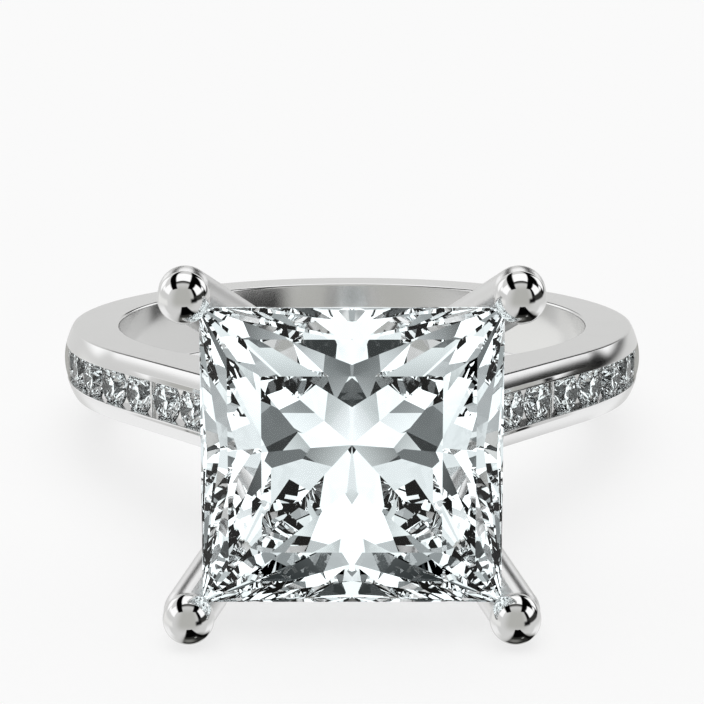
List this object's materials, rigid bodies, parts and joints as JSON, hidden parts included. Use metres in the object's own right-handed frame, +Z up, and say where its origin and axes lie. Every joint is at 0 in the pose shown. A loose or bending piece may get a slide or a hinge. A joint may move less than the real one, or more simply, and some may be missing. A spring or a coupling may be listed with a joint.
{
  "type": "channel set solitaire ring",
  "caption": "Polished white-metal finger ring: large square-cut stone in ball-tipped prongs on solid shoulders with round stones set in channels.",
  "frame": {"origin": "centre of the underside of the ring's bounding box, on the surface that the ring lies on", "axes": "+Z up from that surface; -Y towards the head with the square stone; +X to the right, seen from the stone's side; the finger hole's axis leans 9.3 degrees from +Z towards +Y"},
  "size_m": [0.021, 0.0284, 0.011],
  "materials": {
    "white_gold": "polished",
    "centre_diamond": "polished, faceted",
    "small_diamond": "polished, faceted"
  },
  "bodies": {
    "root": {"mounting": "white_gold", "centre_stone": "centre_diamond", "left_stone_1": "small_diamond", "left_stone_2": "small_diamond", "left_stone_3": "small_diamond", "left_stone_4": "small_diamond", "left_stone_5": "small_diamond", "left_stone_6": "small_diamond", "left_stone_7": "small_diamond", "left_stone_8": "small_diamond", "right_stone_1": "small_diamond", "right_stone_2": "small_diamond", "right_stone_3": "small_diamond", "right_stone_4": "small_diamond", "right_stone_5": "small_diamond", "right_stone_6": "small_diamond", "right_stone_7": "small_diamond", "right_stone_8": "small_diamond"}
  },
  "joints": []
}
